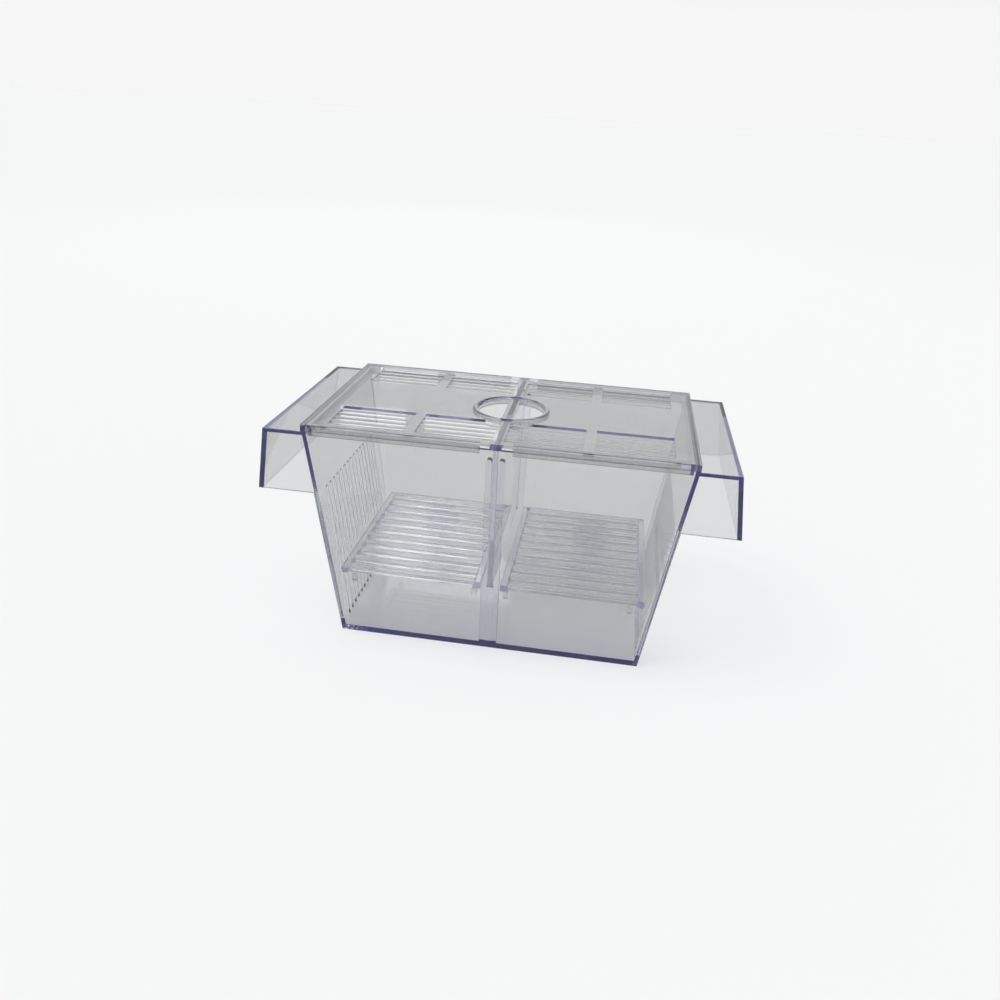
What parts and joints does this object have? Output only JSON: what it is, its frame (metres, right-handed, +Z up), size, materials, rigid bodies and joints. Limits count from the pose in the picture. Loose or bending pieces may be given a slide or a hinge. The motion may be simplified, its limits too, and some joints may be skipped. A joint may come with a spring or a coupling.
{
  "type": "fish breeding box",
  "caption": "Floating clear fish breeding box with air bells at both ends, slotted end walls, vented lift-off lid with feeding ring, divider, gratings and suction cups.",
  "frame": {"origin": "centre of the tank's flat underside", "axes": "+X along the length towards the right float, +Y from the front to the back with the suction cups, +Z up out of the mouth"},
  "size_m": [0.2, 0.0966, 0.0994],
  "materials": {
    "clear_polystyrene": "polished",
    "clear_vinyl": "satin"
  },
  "bodies": {
    "tank": {"tank_body": "clear_polystyrene", "suction_cup_left": "clear_vinyl", "suction_cup_right": "clear_vinyl"},
    "lid": {"lid": "clear_polystyrene"},
    "divider": {"divider": "clear_polystyrene"},
    "grating_left": {"grating_left": "clear_polystyrene"},
    "grating_right": {"grating_right": "clear_polystyrene"}
  },
  "joints": [
    {"name": "lid_lift", "type": "slide", "parent": "tank", "child": "lid", "axis": [0, 0, 1], "range_m": [0, 0.15]},
    {"name": "divider_lift", "type": "slide", "parent": "tank", "child": "divider", "axis": [0, 0, 1], "range_m": [0, 0.075]},
    {"name": "grating_left_lift", "type": "slide", "parent": "tank", "child": "grating_left", "axis": [0, 0, 1], "range_m": [0, 0.075]},
    {"name": "grating_right_lift", "type": "slide", "parent": "tank", "child": "grating_right", "axis": [0, 0, 1], "range_m": [0, 0.075]}
  ],
  "couplings": [
    {"joint": "divider_lift", "follows": "lid_lift", "ratio": 0.5},
    {"joint": "grating_left_lift", "follows": "lid_lift", "ratio": 0.5},
    {"joint": "grating_right_lift", "follows": "lid_lift", "ratio": 0.5}
  ]
}
